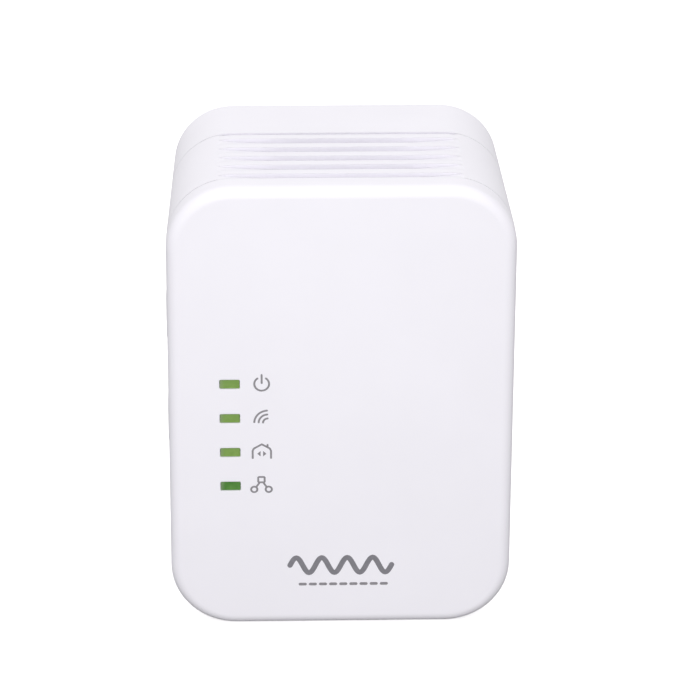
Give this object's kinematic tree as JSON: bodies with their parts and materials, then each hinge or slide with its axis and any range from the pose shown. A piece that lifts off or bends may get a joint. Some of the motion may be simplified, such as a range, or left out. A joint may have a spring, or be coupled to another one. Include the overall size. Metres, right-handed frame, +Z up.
{
  "type": "powerline adapter",
  "caption": "White wall-plug wireless powerline adapter with rounded case, swept top vents, four green indicator windows, side buttons and a network socket underneath.",
  "frame": {"origin": "midway between the two plug pins, on the face of the plug boss that they come out of", "axes": "+Y along the pins towards the wall, -Y out of the front panel, +Z up as plugged in, +X to the right when facing the front panel"},
  "size_m": [0.0603, 0.0815, 0.0837],
  "materials": {
    "case_plastic": "satin moulded white",
    "plug_plastic": "fine matt moulded white",
    "button_plastic": "satin moulded white",
    "nickel": "nickel plated brass",
    "spring_bronze": "bright strip",
    "zinc_steel": "zinc plated",
    "tin_steel": "tin plated sheet",
    "label_stock": "printed film",
    "board_green": "solder-masked laminate",
    "insulator": "thin insulating film",
    "clear_guide": "clear moulded light guide lit green",
    "led_body": "surface-mount lamp",
    "black_plastic": "matt black",
    "switch_plastic": "matt black",
    "stem_plastic": "natural",
    "gold_contact": "gold flash",
    "can_sleeve": "heat-shrunk sleeve",
    "ferrite": "fired matt grey",
    "copper_wire": "enamelled copper",
    "tape_yellow": "polyester tape over copper wire",
    "film_yellow": "moulded box",
    "varistor_blue": "epoxy dip",
    "fuse_black": "moulded",
    "heat_sink_metal": "anodised",
    "pad_grey": "soft pad"
  },
  "bodies": {
    "case": {"front_cover": "case_plastic", "main_housing": "case_plastic", "rear_cover": "case_plastic", "plug_boss": "plug_plastic", "left_pin": "nickel", "right_pin": "nickel", "left_contact": "spring_bronze", "right_contact": "spring_bronze", "case_screws": "zinc_steel", "board_screws": "zinc_steel", "rating_label": "label_stock", "main_board": "board_green", "power_board": "board_green", "insulation_sheet": "insulator", "board_connector": "black_plastic", "light_guide": "clear_guide", "status_leds": "led_body", "pair_switch_body": "switch_plastic", "wifi_switch_body": "switch_plastic", "reset_switch_body": "switch_plastic", "socket_shield": "tin_steel", "socket_core": "black_plastic", "socket_contacts": "gold_contact", "bulk_capacitors": "can_sleeve", "output_capacitors": "can_sleeve", "transformer_bobbin": "black_plastic", "transformer_winding": "tape_yellow", "transformer_core": "ferrite", "filter_capacitor": "film_yellow", "choke_winding": "copper_wire", "choke_core": "ferrite", "mains_fuse": "fuse_black", "varistor": "varistor_blue", "bridge_rectifier": "black_plastic", "coupling_core": "ferrite", "coupling_winding": "copper_wire", "powerline_chip": "black_plastic", "thermal_pad": "pad_grey", "heat_sink": "heat_sink_metal", "wifi_chip": "black_plastic", "memory_chip": "black_plastic", "network_transformer": "black_plastic", "crystal": "tin_steel", "left_antenna": "tin_steel", "right_antenna": "tin_steel"},
    "pair_key": {"pair_button": "button_plastic", "pair_switch_stem": "stem_plastic"},
    "wifi_key": {"wifi_button": "button_plastic", "wifi_switch_stem": "stem_plastic"},
    "reset_plunger": {"reset_switch_stem": "stem_plastic"}
  },
  "joints": [
    {"name": "pair_press", "type": "slide", "parent": "case", "child": "pair_key", "axis": [1, 0, 0], "range_m": [0, 0.0003], "stiffness_N_per_m": 3000, "springref_m": -0.0002},
    {"name": "wifi_press", "type": "slide", "parent": "case", "child": "wifi_key", "axis": [1, 0, 0], "range_m": [0, 0.0003], "stiffness_N_per_m": 3000, "springref_m": -0.0002},
    {"name": "reset_press", "type": "slide", "parent": "case", "child": "reset_plunger", "axis": [1, 0, 0], "range_m": [0, 0.0003], "stiffness_N_per_m": 3000, "springref_m": -0.0002}
  ]
}
